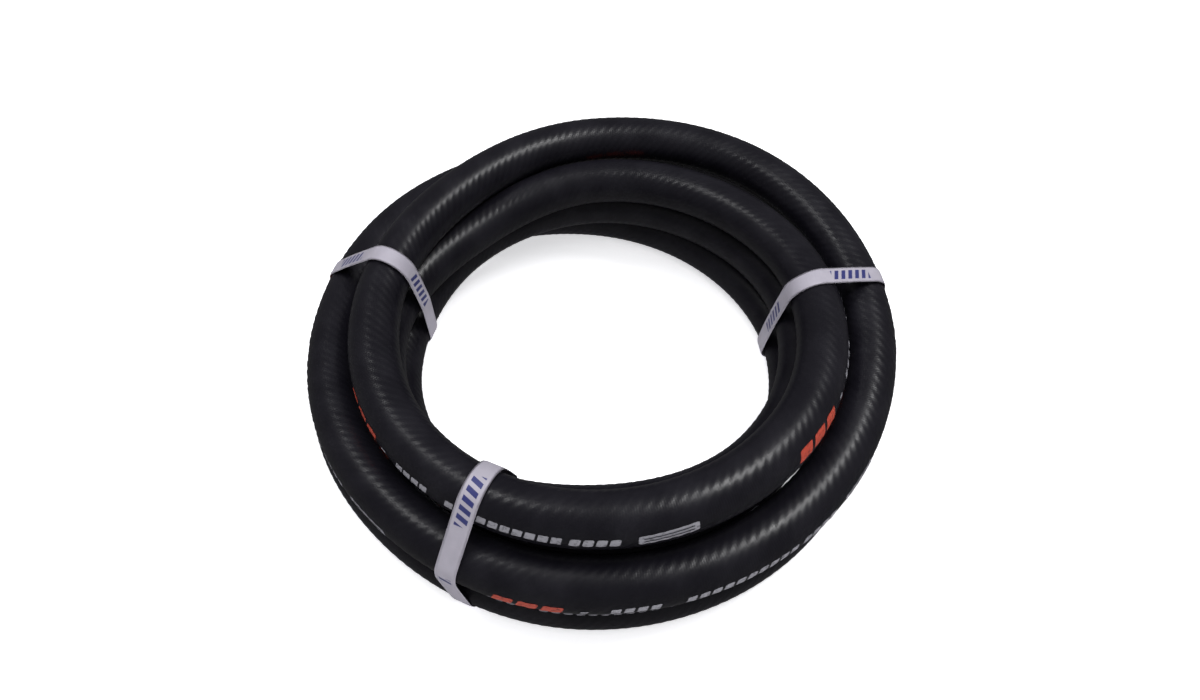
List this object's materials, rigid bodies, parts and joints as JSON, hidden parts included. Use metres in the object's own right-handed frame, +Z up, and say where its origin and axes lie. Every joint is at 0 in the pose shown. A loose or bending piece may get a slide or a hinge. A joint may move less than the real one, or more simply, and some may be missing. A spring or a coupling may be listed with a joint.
{
  "type": "fuel hose",
  "caption": "Black rubber fuel hose wound in a flat round coil, with plain cut ends, held by flat pale straps.",
  "frame": {"origin": "middle of the coil's footprint on the floor that it lies on", "axes": "+Z up along the coil's axis, -Y towards the front of the picture, +X to its right"},
  "size_m": [0.477, 0.4724, 0.1275],
  "materials": {
    "hose_rubber": "satin black rubber with a fine cloth-wrap texture",
    "strapping": "pale satin plastic strapping"
  },
  "bodies": {
    "root": {"hose_coil": "hose_rubber", "hose_tail_outer": "hose_rubber", "hose_tail_inner": "hose_rubber", "strap_right": "strapping", "strap_left": "strapping", "strap_front": "strapping"}
  },
  "joints": []
}
